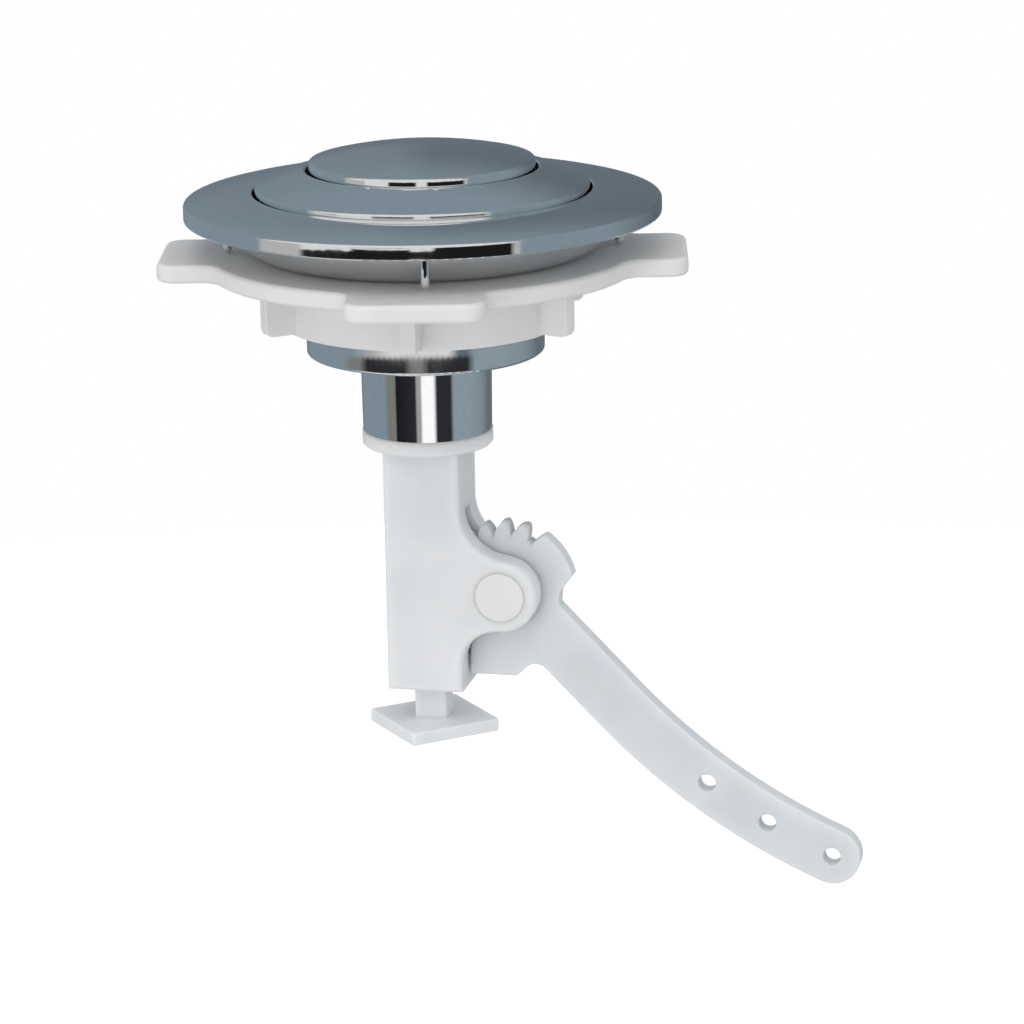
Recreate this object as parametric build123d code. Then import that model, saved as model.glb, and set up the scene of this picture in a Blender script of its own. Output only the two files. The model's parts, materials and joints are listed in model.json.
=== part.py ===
from build123d import *
import math
import os

# Push button cistern actuator: a chrome ring and centre button, whose rack swings a toothed lever.
# Millimetres, +Z up, +X towards the lever. The origin is on the button's axis, on the lid's upper face.

# Bezel and dish
bezel_d = 75.0
bezel_lift = 5.7          # rim's underside above the lid
bezel_rim_t = 2.4
bezel_crown = 1.6         # rise of the top from the rim to the opening
bezel_bow = 0.4           # bulge of the top's section
bezel_edge_r = 0.5
bezel_under_r = 0.3       # rim's lower edge
bezel_lip_r = 0.25        # edge of the opening
dish_foot_inset = 1.1     # dish's foot inside the ring's edge
dish_flare = 5.8          # how far the dish spreads up to the bezel
dish_bow = 1.2            # bulge of the dish's outside
dish_wall = 1.25
seat_floor_t = 2.0
pin_count = 4
pin_d = 1.5
pin_circle_d = 61.6
pin_turn = 14.5           # degrees

# Neck and tail tube
neck_d = 37.64
neck_wall = 1.82
neck_depth = 16.25        # below the lid
neck_floor_t = 1.75
neck_edge_r = 0.5
tube_d = 20.8
tube_wall = 1.6
tube_len = 12.75
tube_taper = 0.15         # on the radius, towards the tube's end

# Ring and centre caps
ring_d = 52.6
ring_gap = 0.35
ring_proud = 0.8          # ring's edge above the bezel's opening
ring_crown = 2.7
ring_bow = 0.15
ring_lip = 1.3
ring_edge_r = 0.45
ring_hole_edge_r = 0.4
ring_seat_drop = 0.6      # sleeve's flange below the ring's edge
centre_d = 35.6
centre_gap = 0.4
centre_proud = 1.1        # centre's edge above the ring
centre_crown = 2.25
centre_lip = 1.4
centre_edge_r = 0.6
cap_t = 1.5
socket_d = 18.8           # socket under the centre cap
socket_wall = 1.4
socket_depth = 2.2

# Ring sleeve and centre plunger
slide_clear = 0.1
stop_gap = 0.2
sleeve_wall = 1.5
sleeve_floor_t = 1.5
sleeve_flange_t = 1.5
sleeve_flange_edge = 1.8  # flange inside the ring's lip
collar_wall = 1.2         # raised rings that locate the ring cap and the centre spring
collar_h = 1.3
plunger_plate_t = 1.5
plunger_wall = 1.4
plunger_skirt = 8.0
plunger_boss_h = 1.8
hook_w = 4.0
hook_h = 2.0
hook_proud = 1.1
hook_clear = 0.3

# Springs
return_wire_d = 1.0
return_spring_d = 11.2    # middle of the wire
return_turns = 6
wire_sides = 6            # of the wire's section
centre_wire_d = 0.9
centre_spring_d = 20.0
centre_turns = 3

# Rack rod and foot
rod_w = 5.2
rod_clear = 0.15
rack_stand = 0.05         # rack's pitch line in front of the rod's face
rack_gaps_above = 3       # gaps between teeth, above and below the one level with the pivot
rack_gaps_below = 1
rod_head_d = 4.0
rod_head_len = 3.6
rod_edge_r = 0.3
foot_side = 15.6
foot_t = 2.1
foot_depth = 78.9         # foot's underside below the lid
foot_corner_r = 0.5
foot_turn = 41.0          # degrees
clip_d = 8.0
clip_t = 0.5
clip_bite = 0.35          # depth of the clip's groove in the rod's head
clip_mouth = 3.0

# Teeth
module = 1.0
wheel_teeth = 20          # of the whole wheel
sector_teeth = 9
first_tooth = 72.0        # degrees, at rest
pressure_angle = 20.0
backlash = 0.2
addendum = 1.0
dedendum = 1.25
flank_steps = 3
tip_round = 0.15          # height of the rounded tip

# Lever bracket
spigot_clear = 0.05
spigot_len = 9.0
spigot_wall = 1.5
bead_proud = 0.2
bead_h = 1.0
bracket_collar_d = 20.8
bracket_collar_t = 2.35
bracket_collar_edge = 0.4
tower_back = 6.05         # faces behind and in front of the axis
tower_front = 6.2
tower_t = 12.8
tower_depth = 71.15       # tower's end below the lid
tower_edge_r = 0.9
pivot_depth = 54.8
boss_r = 5.9
upper_fillet = 8.0
lower_fillet = 6.0
slot_clear = 0.2
slot_above = 13.1         # tower's slot above and below the pivot
slot_below = 11.2

# Pivot pin
pivot_d = 4.0
pivot_clear = 0.08
press_gap = 0.01
pivot_head_d = 6.8
pivot_head_t = 1.0        # in the cheek
pivot_head_proud = 0.12
pivot_head_edge = 0.1
pivot_dimple_d = 4.0
pivot_dimple = 0.1

# Lever
lever_t = 3.4
arm_w = 9.2
arm_drop = 45.6           # degrees below level at the pivot
arm_straight = 26.0
arm_bend_r = 104.5
arm_bend_len = 41.85
link_d = 2.8
link_pitch = 11.55
link_count = 3
block_r = 11.2
block_from = 14.0         # degrees, at its outside
block_to = 55.5
block_foot_from = -1.0    # degrees, at the teeth's root
block_foot_to = 61.0
block_round = 0.6
tail_gap = 0.4            # tail's face off the tower
tail_top = 7.6            # below the pivot
tail_bottom = 14.4
tail_heel = 1.6           # bottom's end in front of the pivot
tail_bevel = 4.6          # rise of its slanted end, into the arm
tail_round = 0.5
notch_r = 2.3             # between the tail and the arm
armpit_r = 0.8            # between the end block and the arm

# Clamp nut
nut_gap = 0.05
nut_flange_d = 68.0
nut_flange_t = 2.95
nut_edge_r = 0.5
lobe_count = 4
lobe_reach_d = 82.8
lobe_w = 21.2
lobe_round = 0.405        # corner's radius, as a share of the lobe's reach
lobe_turn = 12.0          # degrees
nut_thread_d = 39.2
nut_thread_clear = 0.2
nut_hub_d = 45.0
nut_hub_depth = 11.5
rib_count = 6
rib_t = 2.4
rib_reach_d = 55.2
rib_depth = 11.1
rib_corner_r = 1.3
rib_turn = 38.6           # degrees

# Heights and radii that follow
bezel_r = bezel_d / 2
ring_r = ring_d / 2
centre_r = centre_d / 2
opening_r = ring_r + ring_gap
ring_hole_r = centre_r + centre_gap
dish_foot_r = ring_r - dish_foot_inset
dish_top_r = dish_foot_r + dish_flare
neck_r = neck_d / 2
neck_bore_r = neck_r - neck_wall
tube_r = tube_d / 2
tube_bore_r = tube_r - tube_wall
neck_floor_z = neck_floor_t - neck_depth
tube_end_z = -neck_depth - tube_len
rim_z = bezel_lift + bezel_rim_t
opening_z = rim_z + bezel_crown
ring_edge_z = opening_z + ring_proud
ring_top_z = ring_edge_z + ring_crown
centre_edge_z = ring_top_z + centre_proud
apex_z = centre_edge_z + centre_crown
flange_top_z = ring_edge_z - ring_seat_drop
flange_bottom_z = flange_top_z - sleeve_flange_t
ring_travel = flange_bottom_z - seat_floor_t - 2 * stop_gap
centre_travel = centre_edge_z - centre_lip - flange_top_z - stop_gap
sleeve_r = neck_bore_r - slide_clear
sleeve_bore_r = sleeve_r - sleeve_wall
sleeve_bottom_z = neck_floor_z + ring_travel + stop_gap
sleeve_floor_z = sleeve_bottom_z + sleeve_floor_t
plunger_r = sleeve_bore_r - slide_clear
plunger_top_z = centre_edge_z - socket_depth
plate_z = plunger_top_z - plunger_plate_t
skirt_z = plate_z - plunger_skirt
pitch_r = module * wheel_teeth / 2
tip_r = pitch_r + addendum * module
root_r = pitch_r - dedendum * module
tooth_pitch = math.pi * module
rack_x = rod_w / 2 + rack_stand
pivot_x = rack_x + pitch_r
pivot_z = -pivot_depth
slot_w = lever_t + 2 * slot_clear
pin_r = pivot_d / 2
pin_hub = (pivot_x, pivot_z)


def turned(points):
    """A solid of revolution about Z from the corners of its half section."""
    return revolve(Plane.XZ * make_face(Polyline(*points, close=True)), Axis.Z)


def plate(face, thickness):
    """A plate about the XZ plane from its outline."""
    return extrude(Plane.XZ * face, thickness / 2, both=True)


def tube(outer_r, inner_r, z_low, z_high):
    """A plain ring between two heights."""
    ring = Circle(outer_r) - Circle(inner_r)
    return extrude(Pos(0, 0, z_low) * ring, z_high - z_low)


def disc(radius, z_low, z_high):
    """A plain disc between two heights."""
    return extrude(Pos(0, 0, z_low) * Circle(radius), z_high - z_low)


def block(x_low, x_high, width, z_low, z_high):
    """A box that is symmetrical in Y."""
    size = (x_high - x_low, width, z_high - z_low)
    return Pos((x_low + x_high) / 2, 0, (z_low + z_high) / 2) * Box(*size)


def polar(radius, degrees):
    """A point about the pivot, in the lever's plane."""
    angle = math.radians(degrees)
    return (pivot_x + radius * math.cos(angle), pivot_z + radius * math.sin(angle))


def crowned(outer, inner, bow):
    """The bowed top of a ring or a cap's section, from its outer edge to its inner edge."""
    middle = ((outer[0] + inner[0]) / 2, (outer[1] + inner[1]) / 2 + bow)
    return ThreePointArc(outer, middle, inner)


def bezel_housing():
    """Bezel, dish, neck, floor and tail tube in one moulding."""
    slope = dish_flare / bezel_lift
    wall_across = dish_wall * math.hypot(1, slope)
    corner_r = dish_foot_r + slope * seat_floor_t - wall_across
    corner_z = seat_floor_t + (opening_r - corner_r) / slope
    tube_end_r = tube_r - tube_taper
    rim = (bezel_r, rim_z)
    lip = (opening_r, opening_z)
    dish_top = (dish_top_r, bezel_lift)
    dish_foot = (dish_foot_r, 0)
    under = FilletPolyline(rim, (bezel_r, bezel_lift), dish_top, radius=bezel_under_r)
    lower = FilletPolyline(
        dish_foot, (neck_r, 0), (neck_r, -neck_depth), (tube_r, -neck_depth), (tube_end_r, tube_end_z),
        (tube_bore_r, tube_end_z), (tube_bore_r, neck_floor_z), (neck_bore_r, neck_floor_z),
        (neck_bore_r, seat_floor_t), (corner_r, seat_floor_t), (opening_r, corner_z), lip,
        radius=[0, neck_edge_r, 0, 0, 0, 0, 0, 0, 0, 0],
    )
    outline = [under, dish_side(dish_top, dish_foot), lower, crowned(rim, lip, bezel_bow)]
    shell = revolve(Plane.XZ * make_face(outline), Axis.Z)
    shell = fillet(top_edges(shell, (bezel_r,)), bezel_edge_r)
    shell = fillet(top_edges(shell, (opening_r,)), bezel_lip_r)
    for place in PolarLocations(pin_circle_d / 2, pin_count, start_angle=pin_turn):
        shell += place * pin()
    return shell - disc(tube_bore_r + bead_proud + spigot_clear, *bead_heights(stop_gap))


def dish_side(top, foot):
    """The bowed outside of the dish's section."""
    chord = math.hypot(top[0] - foot[0], top[1] - foot[1])
    out_x = dish_bow * (top[1] - foot[1]) / chord
    down_z = dish_bow * (top[0] - foot[0]) / chord
    middle = ((top[0] + foot[0]) / 2 + out_x, (top[1] + foot[1]) / 2 - down_z)
    return ThreePointArc(top, middle, foot)


def pin():
    """A pin from the bezel's underside to the lid, with a round foot."""
    half = pin_d / 2
    shaft = Pos(0, 0, half) * extrude(Circle(half), bezel_lift - half)
    return shaft + Pos(0, 0, half) * Sphere(half)


def bead_heights(room):
    """Lower and upper height of the bracket's snap bead, with some room around it."""
    middle = tube_end_z + spigot_len / 2
    return (middle - bead_h / 2 - room, middle + bead_h / 2 + room)


def ring_cap():
    """Chrome ring with a lip outside and a short well around the centre."""
    edge = (ring_r, ring_edge_z)
    hole = (ring_hole_r, ring_top_z)
    under = ring_crown * cap_t / (ring_r - ring_hole_r)
    outline = Polyline(
        hole, (ring_hole_r, flange_top_z), (ring_hole_r + collar_wall, flange_top_z),
        (ring_hole_r + collar_wall, ring_top_z - cap_t - under),
        (ring_r - cap_t, ring_edge_z - cap_t + under),
        (ring_r - cap_t, ring_edge_z - ring_lip), (ring_r, ring_edge_z - ring_lip), edge,
    )
    solid = revolve(Plane.XZ * make_face([outline, crowned(edge, hole, ring_bow)]), Axis.Z)
    solid = fillet(top_edges(solid, (ring_r,)), ring_edge_r)
    return fillet(top_edges(solid, (ring_hole_r,)), ring_hole_edge_r)


def top_edges(solid, radii):
    """The highest round edge at each of some radii."""
    rounds = solid.edges().filter_by(GeomType.CIRCLE)
    found = []
    for radius in radii:
        same = [edge for edge in rounds if round(edge.radius - radius, 3) == 0]
        found.append(max(same, key=lambda edge: edge.center().Z))
    return found


def centre_cap():
    """Chrome dome with a short lip, and a socket for the plunger."""
    low_z = centre_edge_z - centre_lip
    ball_r = (centre_r ** 2 + centre_crown ** 2) / (2 * centre_crown)
    middle_r = centre_r / 2
    middle_z = apex_z - ball_r + math.sqrt(ball_r ** 2 - middle_r ** 2)
    top = ThreePointArc((centre_r, centre_edge_z), (middle_r, middle_z), (0, apex_z))
    socket_r = socket_d / 2
    under = Polyline(
        (0, apex_z), (0, apex_z - cap_t), (socket_r - socket_wall, apex_z - cap_t),
        (socket_r - socket_wall, plunger_top_z), (socket_r, plunger_top_z), (socket_r, apex_z - cap_t),
        (centre_r - cap_t, centre_edge_z - cap_t / 2), (centre_r - cap_t, low_z), (centre_r, low_z),
        (centre_r, centre_edge_z),
    )
    solid = revolve(Plane.XZ * make_face([top, under]), Axis.Z)
    return fillet(top_edges(solid, (centre_r,)), centre_edge_r)


def hook_slots(width, z_low, z_high, reach):
    """Two blocks across the sleeve's wall, for the plunger's hooks and their windows."""
    depth = reach - plunger_r + plunger_wall / 2
    middle = (reach + plunger_r - plunger_wall / 2) / 2
    size = Box(width, depth, z_high - z_low)
    middle_z = (z_low + z_high) / 2
    return Pos(0, middle, middle_z) * size + Pos(0, -middle, middle_z) * size


def ring_sleeve():
    """Flanged sleeve that carries the ring cap, slides in the neck and pushes the rod."""
    flange_r = ring_r - cap_t - sleeve_flange_edge
    solid = turned([
        (sleeve_bore_r, flange_top_z), (flange_r, flange_top_z), (flange_r, flange_bottom_z),
        (sleeve_r, flange_bottom_z), (sleeve_r, sleeve_bottom_z),
        (rod_head_d / 2 + slide_clear, sleeve_bottom_z), (rod_head_d / 2 + slide_clear, sleeve_floor_z),
        (sleeve_bore_r, sleeve_floor_z),
    ])
    locate_r = ring_hole_r + collar_wall + slide_clear
    solid += tube(locate_r + collar_wall, locate_r, flange_top_z, flange_top_z + collar_h / 2)
    spring_r = (centre_spring_d - centre_wire_d) / 2 - slide_clear
    solid += tube(spring_r, spring_r - collar_wall, sleeve_floor_z, sleeve_floor_z + collar_h)
    low = skirt_z - centre_travel - hook_clear
    high = skirt_z + hook_h + hook_clear / 2
    return solid - hook_slots(hook_w + 2 * hook_clear, low, high, sleeve_r + sleeve_wall)


def centre_plunger():
    """Cup that carries the centre cap, with two hooks that hold it in the ring sleeve."""
    boss_top_z = plunger_top_z + plunger_boss_h
    boss_outer_r = socket_d / 2 - socket_wall - slide_clear
    solid = turned([
        (0, plate_z), (plunger_r - plunger_wall, plate_z), (plunger_r - plunger_wall, skirt_z),
        (plunger_r, skirt_z), (plunger_r, plunger_top_z), (boss_outer_r, plunger_top_z),
        (boss_outer_r, boss_top_z), (0, boss_top_z),
    ])
    return solid + hook_slots(hook_w, skirt_z, skirt_z + hook_h, plunger_r + hook_proud)


def coil(wire_d, middle_d, turns, z_low, z_high):
    """A compression spring between two seats."""
    height = z_high - z_low - wire_d
    path = Pos(0, 0, z_low + wire_d / 2) * Helix(height / turns, height, middle_d / 2)
    wire = Plane(path @ 0, z_dir=path % 0) * RegularPolygon(wire_d / 2, wire_sides)
    return sweep(wire, path, is_frenet=True)


def return_spring():
    """Spring from the bracket's seat to the underside of the ring sleeve."""
    return coil(return_wire_d, return_spring_d, return_turns, tube_end_z, sleeve_bottom_z)


def centre_spring():
    """Spring from the ring sleeve's floor to the plunger's plate."""
    return coil(centre_wire_d, centre_spring_d, centre_turns, sleeve_floor_z, plate_z)


def rack_rod():
    """Square rod with a rack on its front, a grooved head and the foot plate."""
    half = rod_w / 2
    foot_top_z = foot_t - foot_depth
    rod = block(-half, half, rod_w, foot_top_z, sleeve_bottom_z)
    rod = chamfer(rod.edges().filter_by(Axis.Z), rod_edge_r)
    rod += plate(rack_bar(), rod_w)
    for index in range(-rack_gaps_below, rack_gaps_above + 1):
        rod -= plate(rack_gap(pivot_z + index * tooth_pitch), rod_w)
    head_r = rod_head_d / 2
    rod += disc(head_r, sleeve_bottom_z, sleeve_bottom_z + rod_head_len)
    rod -= tube(head_r + clip_bite, head_r - clip_bite, sleeve_floor_z, sleeve_floor_z + clip_t)
    foot = Rot(0, 0, foot_turn) * RectangleRounded(foot_side, foot_side, foot_corner_r)
    return rod + extrude(Pos(0, 0, -foot_depth) * foot, foot_t)


def rack_gap(z):
    """Gap between two straight-sided teeth of the rack, at a height."""
    lean = math.tan(math.radians(pressure_angle))
    root_x = rack_x - dedendum * module
    tip_x = rack_x + addendum * module
    root_half = tooth_pitch / 4 - lean * dedendum * module
    tip_half = tooth_pitch / 4 + lean * addendum * module
    return make_face(Polyline(
        (root_x, z - root_half), (tip_x, z - tip_half), (tip_x, z + tip_half), (root_x, z + root_half),
        close=True,
    ))


def rack_bar():
    """Bar of the rack's teeth, with the flanks of its end teeth."""
    low = pivot_z - (rack_gaps_below + 1) * tooth_pitch
    high = pivot_z + (rack_gaps_above + 1) * tooth_pitch
    tip_x = rack_x + addendum * module
    bar = make_face(Polyline((0, low), (tip_x, low), (tip_x, high), (0, high), close=True))
    return bar - rack_gap(low) - rack_gap(high)


def rod_clip():
    """Open clip in the groove of the rod's head."""
    groove_r = rod_head_d / 2 - clip_bite + press_gap
    ring = Circle(clip_d / 2) - Circle(groove_r)
    ring -= Pos(0, clip_d / 2) * Rectangle(clip_mouth, clip_d)
    return extrude(Pos(0, 0, sleeve_floor_z) * ring, clip_t)


def fillet_arc(radius, side):
    """Round from the tower's face to the pivot's boss: face point, middle and boss point."""
    x = tower_front + radius
    z = pivot_z + side * math.sqrt((radius + boss_r) ** 2 - (pivot_x - x) ** 2)
    on_boss = math.atan2(pivot_z - z, pivot_x - x)
    from_face = side * -math.pi
    between = (on_boss + from_face) / 2
    points = []
    for angle in (from_face, between, on_boss):
        points.append((x + radius * math.cos(angle), z + radius * math.sin(angle)))
    return points


def tower():
    """Tower and both cheeks of the pivot in one block with soft edges."""
    top = fillet_arc(upper_fillet, 1)
    low = fillet_arc(lower_fillet, -1)
    nose = (pivot_x + boss_r, pivot_z)
    outline = [
        ThreePointArc(*top), ThreePointArc(top[2], nose, low[2]), ThreePointArc(*reversed(low)),
        Polyline(
            low[0], (tower_front, -tower_depth), (-tower_back, -tower_depth), (-tower_back, tube_end_z),
            (tower_front, tube_end_z), top[0],
        ),
    ]
    solid = plate(make_face(outline), tower_t)
    rims = solid.edges().group_by(Axis.Y)
    return fillet(rims[0] + rims[-1], tower_edge_r)


def lever_bracket():
    """Spigot and collar in the tail tube, tower around the rod, and clevis for the lever."""
    spigot_r = tube_bore_r - spigot_clear
    collar_r = bracket_collar_d / 2
    collar_z = tube_end_z - bracket_collar_t
    edge = bracket_collar_edge
    solid = turned([
        (0, tube_end_z), (spigot_r - spigot_wall, tube_end_z),
        (spigot_r - spigot_wall, tube_end_z + spigot_len), (spigot_r, tube_end_z + spigot_len),
        (spigot_r, tube_end_z), (collar_r, tube_end_z), (collar_r, collar_z + edge),
        (collar_r - edge, collar_z), (0, collar_z),
    ])
    solid += tube(spigot_r + bead_proud, spigot_r - spigot_wall, *bead_heights(0))
    solid += tower()
    half = rod_w / 2 + rod_clear
    front = rack_x + addendum * module + rod_clear
    solid -= block(-half, front, 2 * half, -tower_depth, tube_end_z)
    far = pivot_x + boss_r
    solid -= block(0, far, slot_w, pivot_z - slot_below, pivot_z + slot_above)
    solid -= block(tower_front, far, slot_w, -tower_depth, collar_z)
    solid -= plate(Pos(*pin_hub) * Circle(pin_r + press_gap), tower_t)
    return solid - pin_head(pivot_head_d / 2 + press_gap)


def pivot_pin():
    """Headed pin through both cheeks, with a dimple in its head."""
    head = pin_head(pivot_head_d / 2)
    head = chamfer(head.edges().group_by(Axis.Y)[0], pivot_head_edge)
    front = Plane.XZ.offset(tower_t / 2 + pivot_head_proud)
    head -= extrude(front * Pos(*pin_hub) * Circle(pivot_dimple_d / 2), -pivot_dimple)
    return plate(Pos(*pin_hub) * Circle(pin_r), tower_t) + head


def pin_head(radius):
    """Head of the pivot pin, sunk in the front cheek."""
    front = Plane.XZ.offset(tower_t / 2 + pivot_head_proud)
    return extrude(front * Pos(*pin_hub) * Circle(radius), -pivot_head_t - pivot_head_proud)


def tooth(degrees):
    """Involute tooth about a direction from the pivot."""
    base_r = pitch_r * math.cos(math.radians(pressure_angle))
    half_at_pitch = (tooth_pitch / 2 - backlash) / (2 * pitch_r)

    def unwind(radius):
        angle = math.acos(base_r / radius)
        return math.tan(angle) - angle

    def flank(side):
        points = []
        for step in range(flank_steps + 1):
            radius = base_r + (tip_r - tip_round - base_r) * step / flank_steps
            half = half_at_pitch + unwind(pitch_r) - unwind(radius)
            points.append(polar(radius, degrees + side * math.degrees(half)))
        return points

    left = flank(1)
    right = flank(-1)
    foot_half = math.degrees(half_at_pitch + unwind(pitch_r))
    inner_r = root_r - dedendum * module
    feet = Polyline(
        right[0], polar(inner_r, degrees - foot_half), polar(inner_r, degrees + foot_half), left[0],
    )
    tip = ThreePointArc(left[-1], polar(tip_r, degrees), right[-1])
    return make_face([Spline(*left), tip, Spline(*right), feet])


def end_block():
    """Solid end of the toothed sector, past its last tooth."""
    start = polar(block_r, block_from)
    end = polar(block_r, block_to)
    middle = polar(block_r, (block_from + block_to) / 2)
    sides = Polyline(end, polar(root_r, block_foot_to), pin_hub, polar(root_r, block_foot_from), start)
    return make_face([ThreePointArc(start, middle, end), sides])


def arm_path():
    """Middle line of the arm: straight from the pivot, then bent up."""
    run = Line(polar(0, 0), polar(arm_straight, -arm_drop))
    bend = JernArc(run @ 1, run % 1, arm_bend_r, math.degrees(arm_bend_len / arm_bend_r))
    return run, bend


def link_places():
    """Places of the link holes, from the arm's end inwards."""
    bend = arm_path()[1]
    return [bend @ (1 - index * link_pitch / arm_bend_len) for index in range(link_count)]


def arm():
    """Arm of even width with a round end."""
    bend = arm_path()[1]
    end = link_places()[0]
    middle = Pos(*polar(arm_straight / 2, -arm_drop)) * Rot(0, 0, -arm_drop)
    straight = middle * Rectangle(arm_straight, arm_w)
    centre = bend.arc_center
    inner = arm_bend_r - arm_w / 2
    outer = arm_bend_r + arm_w / 2
    rays = []
    for share in (0, 0.5, 1):
        away = (bend @ share - centre).normalized()
        rays.append((centre + away * inner, centre + away * outer))
    curved = make_face([
        ThreePointArc(rays[0][0], rays[1][0], rays[2][0]), Line(rays[2][0], rays[2][1]),
        ThreePointArc(rays[2][1], rays[1][1], rays[0][1]), Line(rays[0][1], rays[0][0]),
    ])
    return straight + curved + Pos(end.X, end.Y) * Circle(arm_w / 2)


def tail():
    """Stop that hangs beside the tower's face at rest."""
    face_x = tower_front + tail_gap
    heel_x = pivot_x + tail_heel
    low_z = pivot_z - tail_bottom
    return make_face(Polyline(
        (face_x, pivot_z - tail_top), (face_x, low_z), (heel_x, low_z),
        (heel_x + tail_bevel, low_z + tail_bevel), polar(arm_straight / 2, -arm_drop), pin_hub,
        close=True,
    ))


def rounded(outline, point, radius):
    """An outline with the corner nearest to a point rounded."""
    corner = outline.vertices().sort_by_distance((*point, 0))[0]
    return fillet(corner, radius)


def soft_corners():
    """Corners of the lever's outline and their radii."""
    down = math.sin(math.radians(arm_drop))
    along = math.cos(math.radians(arm_drop))
    armpit = math.degrees(math.asin(arm_w / 2 / root_r)) - arm_drop
    rise = (tail_bottom * along - tail_heel * down - arm_w / 2) / (along + down)
    low_z = pivot_z - tail_bottom
    heel_x = pivot_x + tail_heel
    return (
        (polar(block_r, block_from), block_round), (polar(block_r, block_to), block_round),
        (polar(root_r, block_foot_from), armpit_r), (polar(root_r, armpit), armpit_r),
        ((heel_x + rise, low_z + rise), notch_r), ((heel_x, low_z), tail_round),
        ((tower_front + tail_gap, low_z), tail_round),
    )


def lever_arm():
    """Toothed sector, end block, stop tail and arm in one plate, with its bore and link holes."""
    outline = Pos(*pin_hub) * Circle(root_r) + end_block() + tail() + arm()
    for point, radius in soft_corners():
        outline = rounded(outline, point, radius)
    for index in range(sector_teeth):
        outline += tooth(first_tooth + index * 360 / wheel_teeth)
    outline -= Pos(*pin_hub) * Circle(pin_r + pivot_clear)
    for place in link_places():
        outline -= Pos(place.X, place.Y) * Circle(link_d / 2)
    return plate(outline, lever_t)


def clamp_nut():
    """Flange with round-cornered lobes, ribbed hub and plain bore for the neck's thread."""
    outline = Circle(nut_flange_d / 2)
    for place in PolarLocations(lobe_reach_d / 4, lobe_count, start_angle=lobe_turn):
        outline += place * Rectangle(lobe_reach_d / 2, lobe_w)
    outline = fillet(outline.vertices(), lobe_round * (lobe_reach_d - nut_flange_d) / 2)
    low = -nut_gap - nut_flange_t
    flange = extrude(Pos(0, 0, low) * outline, nut_flange_t)
    rims = flange.edges().group_by(Axis.Z)
    flange = chamfer(rims[0] + rims[-1], nut_edge_r)
    solid = flange + disc(nut_hub_d / 2, -nut_hub_depth, low)
    for place in PolarLocations(0, rib_count, start_angle=rib_turn):
        solid += place * rib(low)
    return solid - disc(nut_thread_d / 2 + nut_thread_clear, -nut_hub_depth, -nut_gap)


def rib(top_z):
    """Upright rib from the hub out under the flange."""
    start = (nut_thread_d + nut_hub_d) / 4
    end = rib_reach_d / 2
    corner = (end, -rib_depth)
    face = make_face(Polyline((start, top_z), (start, -rib_depth), corner, (end, top_z), close=True))
    return plate(rounded(face, corner, rib_corner_r), rib_t)


os.makedirs("parts", exist_ok=True)
builders = (
    bezel_housing, ring_cap, centre_cap, ring_sleeve, centre_plunger, return_spring, centre_spring,
    rack_rod, rod_clip, lever_bracket, pivot_pin, lever_arm, clamp_nut,
)
for builder in builders:
    export_step(builder(), f"parts/{builder.__name__}.step")
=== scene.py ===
"""Looks of a push button cistern actuator: chrome buttons, white nut, milky lever and bracket."""
import json
import math

import bmesh
import bpy
from mathutils import Matrix, Vector

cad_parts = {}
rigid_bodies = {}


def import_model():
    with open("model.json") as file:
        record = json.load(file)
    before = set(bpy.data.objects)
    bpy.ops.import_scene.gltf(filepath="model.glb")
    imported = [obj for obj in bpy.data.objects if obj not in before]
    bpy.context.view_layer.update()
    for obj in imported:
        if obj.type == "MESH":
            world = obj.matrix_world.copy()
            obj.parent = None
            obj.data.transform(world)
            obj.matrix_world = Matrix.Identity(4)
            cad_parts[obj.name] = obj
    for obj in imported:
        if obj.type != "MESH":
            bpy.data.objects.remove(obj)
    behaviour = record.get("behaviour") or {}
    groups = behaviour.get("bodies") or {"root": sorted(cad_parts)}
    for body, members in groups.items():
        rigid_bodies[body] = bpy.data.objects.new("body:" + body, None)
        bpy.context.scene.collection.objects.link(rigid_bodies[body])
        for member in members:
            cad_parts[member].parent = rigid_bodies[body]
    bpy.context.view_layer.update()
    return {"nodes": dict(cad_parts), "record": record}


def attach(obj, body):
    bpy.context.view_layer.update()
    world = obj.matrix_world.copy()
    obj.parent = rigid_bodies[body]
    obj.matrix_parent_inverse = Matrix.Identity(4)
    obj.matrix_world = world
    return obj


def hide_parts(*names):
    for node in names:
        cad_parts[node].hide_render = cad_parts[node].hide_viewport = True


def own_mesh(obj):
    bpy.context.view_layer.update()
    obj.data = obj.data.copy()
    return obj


for left_over in list(bpy.data.objects):
    bpy.data.objects.remove(left_over)
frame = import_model()
MM = 0.001

# Camera, in the part's frame
CAMERA_PLACE = (0.15688, -0.61421, 0.13030)
CAMERA_AZIMUTH = 13.14
CAMERA_ELEVATION = 15.31
CAMERA_ROLL = 1.01
CAMERA_LENS = 144.4
CAMERA_SENSOR = 36.0
CAMERA_NEAR = 0.01

# Studio, in metres, and its light
FLOOR_Z = -0.32
FLOOR_RADIUS = 1.0
FLOOR_SIDES = 96
FLOOR_COLOUR = (0.8, 0.8, 0.8)
FLOOR_GLOW = 0.6          # to the eye alone
DOME_RADIUS = 2.5
DOME_SIDES = 64
DOME_ROWS = 32
AMBIENT = 0.68
LAMP_AIM = (0.02, 0, -0.035)

# Lamps: place and size in metres, power in watts, and colour
LAMPS = {
    "key_lamp": {"place": (0.0, -0.92, 1.14), "size": 0.9, "power": 4.4, "colour": (1, 1, 1)},
    "front_lamp": {"place": (-0.6, -1.27, -0.2), "size": 1.0, "power": 4.6, "colour": (1, 1, 1)},
    "side_lamp": {"place": (1.0, -0.5, 0.1), "size": 1.0, "power": 0.9, "colour": (0.86, 0.95, 1)},
}

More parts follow.
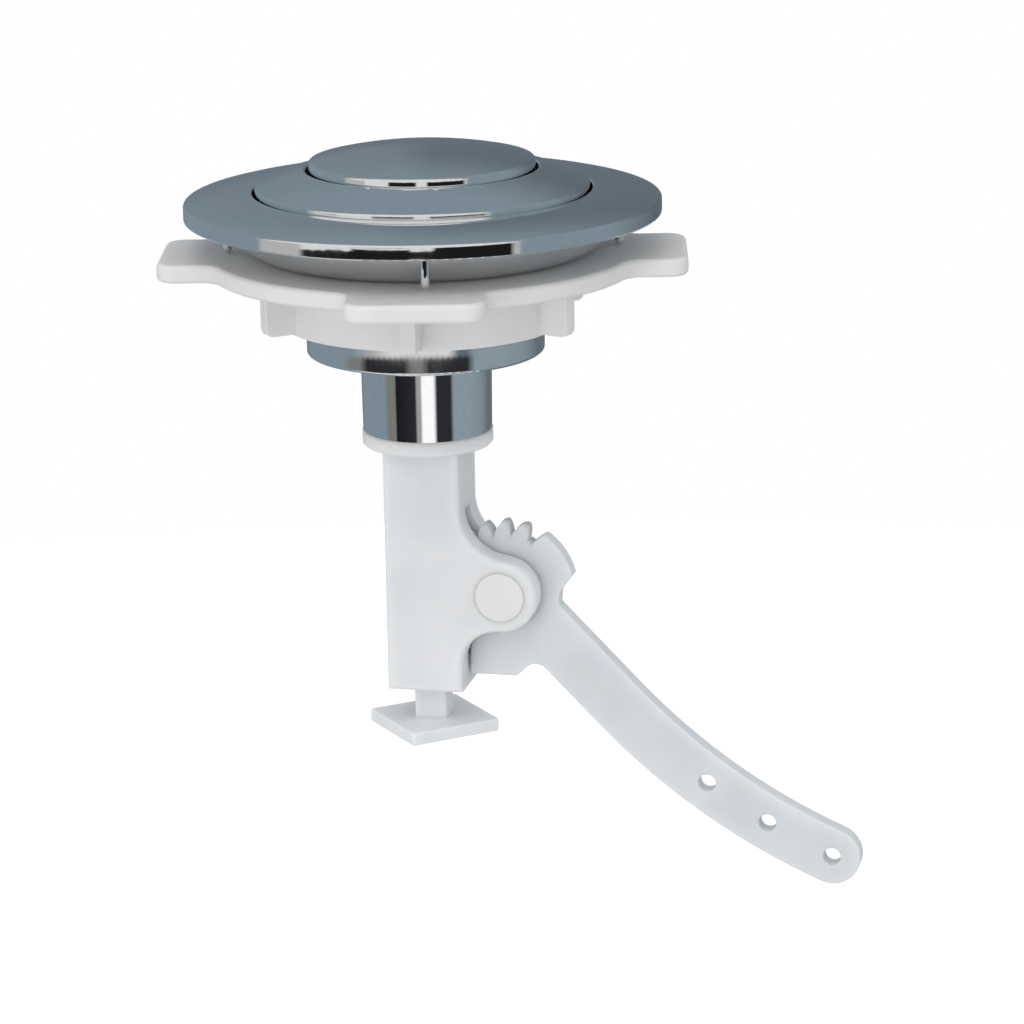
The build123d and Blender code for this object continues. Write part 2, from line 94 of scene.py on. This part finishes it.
# Panels of the studio that the chrome reflects: degrees to the right of the camera, and colour
BLUE_GREY = (0.235, 0.300, 0.345)
LIGHT_BLUE = (0.280, 0.348, 0.395)
DEEP_GREY = (0.140, 0.172, 0.203)
DARK_GREY = (0.112, 0.138, 0.164)
WARM_GREY = (0.220, 0.218, 0.208)
MID_GREY = (0.192, 0.240, 0.280)
BLACK = (0.013, 0.013, 0.014)
SOFT_BLACK = (0.026, 0.028, 0.031)
HALF_WHITE = (0.38, 0.38, 0.385)
PALE_GREY = (0.50, 0.50, 0.49)
BRIGHT = (0.80, 0.79, 0.77)
WHITE = (1.15, 1.15, 1.15)
BACK_LEFT = ((-180, DEEP_GREY), (-140, BLUE_GREY))
BACK_RIGHT = ((112, BLUE_GREY), (138, DEEP_GREY), (180, DEEP_GREY))
WALL_RIGHT = ((49, LIGHT_BLUE), (78, LIGHT_BLUE), *BACK_RIGHT)
RIM_BACK_RIGHT = ((100, BLUE_GREY), (138, DEEP_GREY), (150, DARK_GREY), (180, DEEP_GREY))
RIM_LEFT = ((-180, DEEP_GREY), (-150, BLUE_GREY), (-84, BLUE_GREY), (-81, PALE_GREY), (-60, PALE_GREY))
RIM_RIGHT = ((43, BLACK), (44, PALE_GREY), (47, PALE_GREY), (48, BLUE_GREY), *RIM_BACK_RIGHT)
FLOOR_PANELS = (
    *BACK_LEFT, (-90, BLUE_GREY), (-70, BRIGHT), (45, BRIGHT), (60, BLUE_GREY), *BACK_RIGHT,
)
LOW_PANELS = (
    *BACK_LEFT, (-80, BLUE_GREY), (-72, WARM_GREY), (-58, WARM_GREY), (-55, BLACK), (-20, SOFT_BLACK),
    (-17, HALF_WHITE), (-11, HALF_WHITE), (-7, WHITE), (12, WHITE), (18, SOFT_BLACK), (43, SOFT_BLACK),
    *WALL_RIGHT,
)
NECK_PANELS = (
    *BACK_LEFT, (-86, BLUE_GREY), (-76, WARM_GREY), (-66, WARM_GREY), (-58, SOFT_BLACK), (-20, SOFT_BLACK),
    (-12, WARM_GREY), (-4, WARM_GREY), (4, SOFT_BLACK), (41, SOFT_BLACK), *WALL_RIGHT,
)
STRIP_PANELS = (
    *BACK_LEFT, (-74, BLUE_GREY), (-50, PALE_GREY), (-32, BRIGHT), (22, BRIGHT), (32, DEEP_GREY),
    (40, DEEP_GREY), *WALL_RIGHT,
)
RIM_PANELS = (
    *RIM_LEFT, (-57, BRIGHT), (-34, BRIGHT), (-32, BLACK), (-6, BLACK), (-4, BRIGHT), (5, BRIGHT), (7, BLACK),
    *RIM_RIGHT,
)
LEVEL_PANELS = (*RIM_LEFT, (-57, BLACK), *RIM_RIGHT)
EDGE_PANELS = (*RIM_LEFT, (-57, BRIGHT), (8, BRIGHT), (12, BLACK), *RIM_RIGHT)
UPPER_PANELS = (
    (-180, DEEP_GREY), (-176, MID_GREY), (-150, BLUE_GREY), (-84, BLUE_GREY), (-75, BRIGHT), (42, BRIGHT),
    (50, BLUE_GREY), *RIM_BACK_RIGHT,
)
HIGH_PANELS = (
    (-180, BLUE_GREY), (-80, BLUE_GREY), (-65, BRIGHT), (40, BRIGHT), (60, BLUE_GREY), (180, BLUE_GREY),
)

# Rows above the floor's: heights in degrees over which each takes over from the one below it
PANEL_ROWS = (
    (-30.0, -22.0, LOW_PANELS), (-13.72, -13.62, NECK_PANELS), (-13.36, -13.26, STRIP_PANELS),
    (-13.0, -12.4, RIM_PANELS), (-11.75, -11.7, LEVEL_PANELS), (-11.3, -11.29, RIM_PANELS),
    (-11.2, -11.16, EDGE_PANELS), (-11.06, -11.0, RIM_PANELS), (2.0, 14.0, UPPER_PANELS),
    (18.0, 48.0, HIGH_PANELS),
)

# Finishes: two colours and two roughnesses to wander between, with the cells of each noise per metre
NOISE_LOW = 0.3
NOISE_HIGH = 0.7
BUMP_DEPTH = 0.0001
CHROME = {
    "low": (0.80, 0.81, 0.82), "high": (0.85, 0.855, 0.86), "cells": 900.0,
    "rough": (0.008, 0.02), "rough_cells": 240.0, "bump": 0.006, "bump_cells": 120.0, "bump_detail": 1.0,
}
# Painted shade: near-black colours for the chrome in the ring's bore, the gap around the centre button
BORE_SHADE_LOW = (0.015, 0.015, 0.016)
BORE_SHADE_HIGH = (0.025, 0.025, 0.026)
STEEL = {
    "low": (0.52, 0.52, 0.53), "high": (0.66, 0.66, 0.67), "cells": 2500.0,
    "rough": (0.22, 0.36), "rough_cells": 1500.0,
}
WHITE_PLASTIC = {
    "low": (0.76, 0.76, 0.765), "high": (0.80, 0.80, 0.80), "cells": 160.0,
    "rough": (0.42, 0.52), "rough_cells": 700.0, "bump": 0.12, "bump_cells": 1500.0,
    "share": 0.25, "tint": (1.0, 1.0, 1.0), "depth": 0.0012,
}
MILKY_PLASTIC = {
    "low": (0.68, 0.705, 0.725), "high": (0.735, 0.755, 0.77), "cells": 90.0,
    "rough": (0.36, 0.48), "rough_cells": 500.0, "bump": 0.1, "bump_cells": 1100.0,
    "share": 1.0, "tint": (0.9, 1.0, 1.1), "depth": 0.004,
}
DENSE_PLASTIC = {
    **MILKY_PLASTIC, "low": (0.77, 0.785, 0.80), "high": (0.83, 0.84, 0.85), "depth": 0.0018,
}
FULL_PLASTIC = {
    **MILKY_PLASTIC, "low": (0.77, 0.78, 0.785), "high": (0.81, 0.815, 0.82), "share": 0.0, "depth": 0.001,
}

# Colour sockets of a Mix node, which share their names with others
MIX_BELOW = 6
MIX_ABOVE = 7
MIX_RESULT = 2

# Ring's bore, where painted shade darkens the chrome in the gap around the centre button, in millimetres
BORE_R = 18.25
BORE_LOW_Z = 9.8
BORE_HIGH_Z = 12.85

# Neck's thread, in millimetres
THREAD_ROOT_R = 18.7
THREAD_CREST_R = 19.55
THREAD_ROOT_W = 1.5
THREAD_CREST_W = 0.5
THREAD_PITCH = 3.0
THREAD_LOW_Z = -12.4
THREAD_TURNS = 3.6
THREAD_START = 110.0      # degrees
THREAD_FADE = 0.12        # turns over which the ridge rises at each end
THREAD_STEPS = 72         # a turn

# Springs, in millimetres
RETURN_SPRING = {"wire_r": 0.5, "middle_r": 5.6, "turns": 6, "low_z": -29.0, "high_z": -8.3}
CENTRE_SPRING = {"wire_r": 0.45, "middle_r": 10.0, "turns": 3, "low_z": -6.8, "high_z": 10.6}
SPRING_STEPS = 40         # a turn
WIRE_SIDES = 12

# Soft edges of the mouldings: widths in millimetres, and where the lever's teeth stay crisp
SOFT_EDGES = {"clamp_nut": 0.25, "lever_arm": 0.3, "rack_rod": 0.2}
SOFT_STEPS = 2
SHARP_FROM = 35.0         # degrees between two faces
FLAT_WITHIN = 0.5         # degrees between faces that count as one
SAME_WITHIN = 0.002       # between points that count as one
EVEN_WEIGHT = 100
PIVOT = (12.65, -54.8)
TEETH_REACH = 11.3
TEETH_FROM = 57.0         # degrees about the pivot
TEETH_TO = 235.0

# Full, round-topped teeth at the open end of the lever's sector, in millimetres about the pivot
LOBE_ROOT_R = 8.9
LOBE_TIP_R = 11.06
LOBE_INNER_R = 8.2
LOBE_FIRST = 72.0         # degrees, at the first tip
LOBE_PITCH = 18.0
LOBE_FRONT = 6.0          # from a valley up to the next tip
LOBE_LEAD = 5.0           # from the end block to the first valley
LOBE_COUNT = 3
LOBE_STEPS = 9            # on each side of a tip
LOBE_T = 3.42

# Pivot pin, from its back end to the dimple in its head: radius and place along Y, in millimetres
PIN_RINGS = (
    (2.0, 6.4), (2.0, -5.4), (3.4, -5.4), (3.4, -6.3), (3.95, -6.39), (3.7, -6.44), (3.4, -6.48),
    (3.0, -6.5), (2.5, -6.5), (2.2, -6.48), (1.9, -6.45), (1.5, -6.44), (0.5, -6.44),
)
PIN_SIDES = 64


def node_of(tree, kind, **inputs):
    """A node with some of its inputs set by name."""
    node = tree.nodes.new(kind)
    for name, value in inputs.items():
        node.inputs[name.replace("_", " ")].default_value = value
    return node


def math_node(tree, operation, *values):
    """A calculation on sockets and numbers."""
    node = tree.nodes.new("ShaderNodeMath")
    node.operation = operation
    for socket, value in zip(node.inputs, values):
        if isinstance(value, (int, float)):
            socket.default_value = value
        else:
            tree.links.new(value, socket)
    return node.outputs["Value"]


def own_place(tree):
    """Sockets of a point's X, Y and Z in the piece's own coordinates."""
    place = tree.nodes.new("ShaderNodeTexCoord")
    parts = tree.nodes.new("ShaderNodeSeparateXYZ")
    tree.links.new(place.outputs["Object"], parts.inputs["Vector"])
    return [parts.outputs[axis] for axis in "XYZ"]


def mixed(tree, share, below, above):
    """A colour that gives way to another by a share."""
    node = tree.nodes.new("ShaderNodeMix")
    node.data_type = "RGBA"
    tree.links.new(share, node.inputs["Factor"])
    tree.links.new(below, node.inputs[MIX_BELOW])
    tree.links.new(above, node.inputs[MIX_ABOVE])
    return node.outputs[MIX_RESULT]


def noise(tree, cells, detail=3.0):
    """Noise in the piece's own coordinates, in cells per metre."""
    place = tree.nodes.new("ShaderNodeTexCoord")
    texture = node_of(tree, "ShaderNodeTexNoise", Scale=cells, Detail=detail)
    tree.links.new(place.outputs["Object"], texture.inputs["Vector"])
    return texture.outputs["Fac"]


def mottled(tree, source, low, high):
    """A colour that wanders between two others with the noise."""
    ramp = tree.nodes.new("ShaderNodeValToRGB")
    stops = ramp.color_ramp.elements
    for stop, place, colour in zip(stops, (NOISE_LOW, NOISE_HIGH), (low, high)):
        stop.position = place
        stop.color = (*colour, 1)
    tree.links.new(source, ramp.inputs["Fac"])
    return ramp.outputs["Color"]


def spread(tree, source, low, high):
    """A number that wanders between two others with the noise."""
    node = node_of(
        tree, "ShaderNodeMapRange", From_Min=NOISE_LOW, From_Max=NOISE_HIGH, To_Min=low, To_Max=high,
    )
    tree.links.new(source, node.inputs["Value"])
    return node.outputs["Result"]


def new_shader(name):
    """A material with its node tree and its Principled shader."""
    material = bpy.data.materials.new(name)
    material.use_nodes = True
    tree = material.node_tree
    return material, tree, tree.nodes["Principled BSDF"]


def finish(name, look):
    """A material with its colour, roughness and small height changes, each from a noise."""
    material, tree, shader = new_shader(name)
    colour = mottled(tree, noise(tree, look["cells"]), look["low"], look["high"])
    tree.links.new(colour, shader.inputs["Base Color"])
    rough = spread(tree, noise(tree, look["rough_cells"]), *look["rough"])
    tree.links.new(rough, shader.inputs["Roughness"])
    if "bump" in look:
        node = node_of(tree, "ShaderNodeBump", Strength=look["bump"], Distance=BUMP_DEPTH)
        height = noise(tree, look["bump_cells"], look.get("bump_detail", 3.0))
        tree.links.new(height, node.inputs["Height"])
        tree.links.new(node.outputs["Normal"], shader.inputs["Normal"])
    return material


def bore_shade_mask(tree):
    """One in the ring's bore around the centre button, where the chrome gets painted shade, and otherwise
    nought.
    """
    x, y, z = own_place(tree)
    square = math_node(tree, "MULTIPLY_ADD", x, x, math_node(tree, "MULTIPLY", y, y))
    near = math_node(tree, "LESS_THAN", square, (BORE_R * MM) ** 2)
    above = math_node(tree, "GREATER_THAN", z, BORE_LOW_Z * MM)
    below = math_node(tree, "LESS_THAN", z, BORE_HIGH_Z * MM)
    return math_node(tree, "MULTIPLY", near, math_node(tree, "MULTIPLY", above, below))


def metal(name, look):
    """A bright metal."""
    material = finish(name, look)
    material.node_tree.nodes["Principled BSDF"].inputs["Metallic"].default_value = 1.0
    return material


def chrome(name, look):
    """Bright chrome on moulded plastic, with a faint waviness, and painted shade in the ring's bore around
    the centre button.
    """
    material = metal(name, look)
    tree = material.node_tree
    base = tree.nodes["Principled BSDF"].inputs["Base Color"]
    bright = base.links[0].from_socket
    # Painted shade: the chrome turns near black in the ring's bore, the gap around the centre button
    bore_shade = mottled(tree, noise(tree, look["cells"]), BORE_SHADE_LOW, BORE_SHADE_HIGH)
    tree.links.new(mixed(tree, bore_shade_mask(tree), bright, bore_shade), base)
    return material


def plastic(name, look):
    """Moulded plastic with a fine grain, which a share of the light goes into a little way."""
    material = finish(name, look)
    shader = material.node_tree.nodes["Principled BSDF"]
    shader.inputs["Subsurface Weight"].default_value = look["share"]
    shader.inputs["Subsurface Radius"].default_value = look["tint"]
    shader.inputs["Subsurface Scale"].default_value = look["depth"]
    return material


MATERIALS = {
    "chrome_plate": chrome("chrome_plate", CHROME),
    "white_plastic": plastic("white_plastic", WHITE_PLASTIC),
    "spring_steel": metal("spring_steel", STEEL),
    "milky_plastic": plastic("milky_plastic", MILKY_PLASTIC),
}
DENSE = plastic("dense_plastic", DENSE_PLASTIC)
FULL = plastic("full_plastic", FULL_PLASTIC)
OWN_FINISH = {"lever_bracket": DENSE, "rack_rod": DENSE, "pivot_pin": FULL}


def slot_of(node):
    """The record's material slot of a node."""
    for part in frame["record"]["subparts"]:
        if part["node"] == node:
            return part["material_slot"]


def body_of(node):
    """The body that a node belongs to."""
    for body, members in frame["record"]["behaviour"]["bodies"].items():
        if node in members:
            return body


def paint(piece, node):
    """Gives a piece the finish of a node."""
    piece.data.materials.clear()
    piece.data.materials.append(OWN_FINISH.get(node, MATERIALS[slot_of(node)]))


def settle(piece, node):
    """Puts a piece in a node's place, on its body and in its slot."""
    bpy.context.scene.collection.objects.link(piece)
    paint(piece, node)
    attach(piece, body_of(node))


def drawn_along(name, rings):
    """A piece from closed sections, one after another, with its ends shut."""
    count = len(rings[0])
    points = [Vector(point) * MM for ring in rings for point in ring]
    faces = [tuple(reversed(range(count))), tuple(range(len(points) - count, len(points)))]
    for start in range(0, len(points) - count, count):
        for side in range(count):
            after = (side + 1) % count
            faces.append((start + side, start + after, start + count + after, start + count + side))
    mesh = bpy.data.meshes.new(name)
    mesh.from_pydata(points, [], faces)
    shape = bmesh.new()
    shape.from_mesh(mesh)
    bmesh.ops.recalc_face_normals(shape, faces=shape.faces)
    shape.to_mesh(mesh)
    shape.free()
    mesh.shade_smooth()
    mesh.set_sharp_from_angle(angle=math.radians(SHARP_FROM))
    return bpy.data.objects.new(name, mesh)


def neck_thread():
    """Helical ridge of the neck's thread, on which the nut runs."""
    rings = []
    for step in range(round(THREAD_TURNS * THREAD_STEPS) + 1):
        turn = step / THREAD_STEPS
        angle = math.radians(THREAD_START) + 2 * math.pi * turn
        rise = min(1.0, turn / THREAD_FADE, (THREAD_TURNS - turn) / THREAD_FADE)
        crest_r = THREAD_ROOT_R + (THREAD_CREST_R - THREAD_ROOT_R) * rise
        middle_z = THREAD_LOW_Z + THREAD_PITCH * turn
        section = (
            (THREAD_ROOT_R, -THREAD_ROOT_W / 2), (crest_r, -THREAD_CREST_W / 2),
            (crest_r, THREAD_CREST_W / 2), (THREAD_ROOT_R, THREAD_ROOT_W / 2),
        )
        rings.append([(r * math.cos(angle), r * math.sin(angle), middle_z + z) for r, z in section])
    settle(drawn_along("neck_thread", rings), "bezel_housing")


def round_spring(node, size):
    """A spring of round wire in a node's place, on the node's body."""
    wire_r = size["wire_r"]
    steps = size["turns"] * SPRING_STEPS
    height = size["high_z"] - size["low_z"] - 2 * wire_r
    rings = []
    for step in range(steps + 1):
        angle = 2 * math.pi * step / SPRING_STEPS
        out = Vector((math.cos(angle), math.sin(angle), 0))
        middle = out * size["middle_r"]
        middle.z = size["low_z"] + wire_r + height * step / steps
        ring = []
        for side in range(WIRE_SIDES):
            around = 2 * math.pi * side / WIRE_SIDES
            lift = Vector((0, 0, wire_r * math.sin(around)))
            ring.append(middle + out * (wire_r * math.cos(around)) + lift)
        rings.append(ring)
    piece = drawn_along(node + "_wire", rings)
    settle(piece, node)
    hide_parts(node)
    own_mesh(piece)


def ring_about_pivot(outline, y):
    """Points at some radii and degrees about the pivot, in one plane."""
    ring = []
    for radius, degrees in outline:
        turn = math.radians(degrees)
        ring.append((PIVOT[0] + radius * math.cos(turn), y, PIVOT[1] + radius * math.sin(turn)))
    return ring


def round_pin():
    """The pivot pin with a head that runs softly into the bracket's cheek."""
    turns = [360 * side / PIN_SIDES for side in range(PIN_SIDES)]
    rings = [ring_about_pivot([(radius, turn) for turn in turns], y) for radius, y in PIN_RINGS]
    piece = drawn_along("pivot_pin_round", rings)
    settle(piece, "pivot_pin")
    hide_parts("pivot_pin")


def sector_lobes():
    """Plate of the lever's teeth that show above the bracket, one leaning arch after another."""
    outline = [(LOBE_ROOT_R, LOBE_FIRST - LOBE_FRONT - LOBE_LEAD)]
    for index in range(LOBE_COUNT):
        tip = LOBE_FIRST + index * LOBE_PITCH
        for step in range(-LOBE_STEPS, LOBE_STEPS):
            share = step / LOBE_STEPS
            width = LOBE_FRONT if share < 0 else LOBE_PITCH - LOBE_FRONT
            radius = LOBE_ROOT_R + (LOBE_TIP_R - LOBE_ROOT_R) * (1 - share ** 2)
            outline.append((radius, tip + share * width))
    outline.append((LOBE_ROOT_R, LOBE_FIRST + LOBE_COUNT * LOBE_PITCH - LOBE_FRONT))
    outline += [(LOBE_INNER_R, degrees) for radius, degrees in reversed(outline)]
    return drawn_along("sector_lobes", [ring_about_pivot(outline, y) for y in (LOBE_T / 2, -LOBE_T / 2)])


def joined(mesh, other):
    """A mesh united with another piece."""
    holder = bpy.data.objects.new("joining", mesh)
    for piece in (holder, other):
        bpy.context.scene.collection.objects.link(piece)
    union = holder.modifiers.new("union", "BOOLEAN")
    union.operation = "UNION"
    union.solver = "EXACT"
    union.object = other
    bpy.context.view_layer.update()
    seen = holder.evaluated_get(bpy.context.evaluated_depsgraph_get())
    result = bpy.data.meshes.new_from_object(seen)
    for piece in (holder, other):
        bpy.data.objects.remove(piece)
    return result


def is_soft(edge):
    """Whether an edge is rounded: sharp ones are, apart from the lever's and the rack's teeth."""
    if not edge.is_manifold or edge.calc_face_angle() < math.radians(SHARP_FROM):
        return False
    middle = (edge.verts[0].co + edge.verts[1].co) / 2 / MM
    across = middle.x - PIVOT[0]
    rise = middle.z - PIVOT[1]
    turn = math.degrees(math.atan2(rise, across)) % 360
    in_teeth = math.hypot(across, rise) < TEETH_REACH and TEETH_FROM < turn < TEETH_TO
    return not in_teeth


def soft_copy(node, width):
    """A copy of a node with its sharp edges rounded, in the node's place."""
    source = frame["nodes"][node]
    mesh = source.data.copy()
    if "custom_normal" in mesh.attributes:
        mesh.attributes.remove(mesh.attributes["custom_normal"])
    shape = bmesh.new()
    shape.from_mesh(mesh)
    bmesh.ops.remove_doubles(shape, verts=shape.verts, dist=SAME_WITHIN * MM)
    if node == "lever_arm":
        shape.to_mesh(mesh)
        mesh = joined(mesh, sector_lobes())
        shape.clear()
        shape.from_mesh(mesh)
    bmesh.ops.dissolve_limit(
        shape, angle_limit=math.radians(FLAT_WITHIN), verts=shape.verts, edges=shape.edges,
    )
    sharp = [edge for edge in shape.edges if is_soft(edge)]
    bmesh.ops.bevel(
        shape, geom=sharp, offset=width * MM, offset_type="OFFSET", segments=SOFT_STEPS, profile=0.5,
        affect="EDGES",
    )
    bmesh.ops.remove_doubles(shape, verts=shape.verts, dist=SAME_WITHIN * MM)
    for face in shape.faces:
        face.smooth = True
    shape.to_mesh(mesh)
    shape.free()
    piece = bpy.data.objects.new(node + "_soft", mesh)
    piece.matrix_world = source.matrix_world
    even = piece.modifiers.new("even_normals", "WEIGHTED_NORMAL")
    even.weight = EVEN_WEIGHT
    settle(piece, node)
    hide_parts(node)


def ramp_of(tree, panels, source):
    """Panels side by side around the dome."""
    ramp = tree.nodes.new("ShaderNodeValToRGB")
    stops = ramp.color_ramp.elements
    for index, (degrees, colour) in enumerate(panels):
        place = degrees / 360 + 0.5
        stop = stops[index] if index < 2 else stops.new(place)
        stop.position = place
        stop.color = (*colour, 1)
    tree.links.new(source, ramp.inputs["Fac"])
    return ramp.outputs["Color"]


def over(tree, height, start, end, below, above):
    """One row of panels that passes into another between two heights."""
    rise = node_of(tree, "ShaderNodeMapRange", From_Min=math.radians(start), From_Max=math.radians(end))
    rise.interpolation_type = "SMOOTHSTEP"
    tree.links.new(height, rise.inputs["Value"])
    return mixed(tree, rise.outputs["Result"], below, above)


def dome_walls():
    """Glowing panels all around, row over row."""
    material = bpy.data.materials.new("studio_walls")
    material.use_nodes = True
    tree = material.node_tree
    tree.nodes.clear()
    x, y, z = own_place(tree)
    turn = math_node(tree, "ARCTAN2", x, math_node(tree, "MULTIPLY", y, -1.0))
    around = math_node(tree, "MULTIPLY_ADD", turn, 0.5 / math.pi, 0.5)
    height = math_node(tree, "ARCSINE", math_node(tree, "DIVIDE", z, DOME_RADIUS))
    walls = ramp_of(tree, FLOOR_PANELS, around)
    for start, end, panels in PANEL_ROWS:
        walls = over(tree, height, start, end, walls, ramp_of(tree, panels, around))
    glow = tree.nodes.new("ShaderNodeEmission")
    tree.links.new(walls, glow.inputs["Color"])
    output = tree.nodes.new("ShaderNodeOutputMaterial")
    tree.links.new(glow.outputs["Emission"], output.inputs["Surface"])
    return material


def stage_piece(name, shape, material):
    """A piece of the studio from a shape."""
    mesh = bpy.data.meshes.new(name)
    shape.to_mesh(mesh)
    shape.free()
    mesh.materials.append(material)
    piece = bpy.data.objects.new(name, mesh)
    bpy.context.scene.collection.objects.link(piece)
    return piece


def reflection_dome():
    """Studio walls around the object, which only mirrors see."""
    shape = bmesh.new()
    bmesh.ops.create_uvsphere(shape, u_segments=DOME_SIDES, v_segments=DOME_ROWS, radius=DOME_RADIUS)
    dome = stage_piece("studio_walls", shape, dome_walls())
    dome.rotation_euler = (0, 0, math.radians(CAMERA_AZIMUTH))
    dome.visible_camera = False
    dome.visible_diffuse = False
    dome.visible_transmission = False
    dome.visible_volume_scatter = False
    dome.visible_shadow = False


def seen_rays(tree):
    """One for camera, mirror and see-through rays, and otherwise nought."""
    path = tree.nodes.new("ShaderNodeLightPath")
    total = math_node(tree, "MAXIMUM", path.outputs["Is Camera Ray"], path.outputs["Is Glossy Ray"])
    return math_node(tree, "MAXIMUM", total, path.outputs["Is Transmission Ray"])


def world():
    """White surroundings to the eye, and an even soft light on the object."""
    sky = bpy.data.worlds.new("studio")
    bpy.context.scene.world = sky
    sky.use_nodes = True
    tree = sky.node_tree
    background = tree.nodes["Background"]
    background.inputs["Color"].default_value = (1, 1, 1, 1)
    strength = node_of(tree, "ShaderNodeMapRange", To_Min=AMBIENT, To_Max=1.0)
    tree.links.new(seen_rays(tree), strength.inputs["Value"])
    tree.links.new(strength.outputs["Result"], background.inputs["Strength"])


def floor():
    """Pale floor well under the object, which keeps a soft shadow."""
    shape = bmesh.new()
    bmesh.ops.create_circle(shape, cap_ends=True, segments=FLOOR_SIDES, radius=FLOOR_RADIUS)
    bmesh.ops.translate(shape, verts=shape.verts, vec=(0, 0, FLOOR_Z))
    material, tree, shader = new_shader("floor_paper")
    shader.inputs["Roughness"].default_value = 1.0
    shader.inputs["Specular IOR Level"].default_value = 0.0
    shader.inputs["Base Color"].default_value = (*FLOOR_COLOUR, 1)
    shader.inputs["Emission Color"].default_value = (1, 1, 1, 1)
    glow = math_node(tree, "MULTIPLY", seen_rays(tree), FLOOR_GLOW)
    tree.links.new(glow, shader.inputs["Emission Strength"])
    ground = stage_piece("floor", shape, material)
    ground.visible_glossy = False


def lamp(name, place, size, power, colour):
    """A large soft lamp that points at the object."""
    data = bpy.data.lights.new(name, "AREA")
    data.shape = "DISK"
    data.size = size
    data.energy = power
    data.color = colour
    holder = bpy.data.objects.new(name, data)
    bpy.context.scene.collection.objects.link(holder)
    holder.location = place
    aim = Vector(LAMP_AIM) - Vector(place)
    holder.rotation_euler = aim.to_track_quat("-Z", "Y").to_euler()
    holder.visible_glossy = False
    holder.visible_camera = False


def camera():
    """Camera at the photo's place and angle."""
    turn = math.radians(CAMERA_AZIMUTH)
    rise = math.radians(CAMERA_ELEVATION)
    roll = math.radians(CAMERA_ROLL)
    back = Vector((math.sin(turn) * math.cos(rise), -math.cos(turn) * math.cos(rise), math.sin(rise)))
    right = Vector((math.cos(turn), math.sin(turn), 0))
    up = back.cross(right)
    across = right * math.cos(roll) - up * math.sin(roll)
    upright = right * math.sin(roll) + up * math.cos(roll)
    data = bpy.data.cameras.new("camera")
    data.lens = CAMERA_LENS
    data.sensor_width = CAMERA_SENSOR
    data.clip_start = CAMERA_NEAR
    holder = bpy.data.objects.new("camera", data)
    bpy.context.scene.collection.objects.link(holder)
    facing = Matrix((across, upright, back)).transposed().to_4x4()
    holder.matrix_world = Matrix.Translation(CAMERA_PLACE) @ facing
    bpy.context.scene.camera = holder


for cad_node, cad_object in frame["nodes"].items():
    paint(cad_object, cad_node)
neck_thread()
round_pin()
round_spring("return_spring", RETURN_SPRING)
round_spring("centre_spring", CENTRE_SPRING)
for soft_node, edge_width in SOFT_EDGES.items():
    soft_copy(soft_node, edge_width)
reflection_dome()
world()
floor()
for lamp_name, lamp_sizes in LAMPS.items():
    lamp(lamp_name, **lamp_sizes)
camera()
bpy.context.scene.view_settings.view_transform = "Standard"
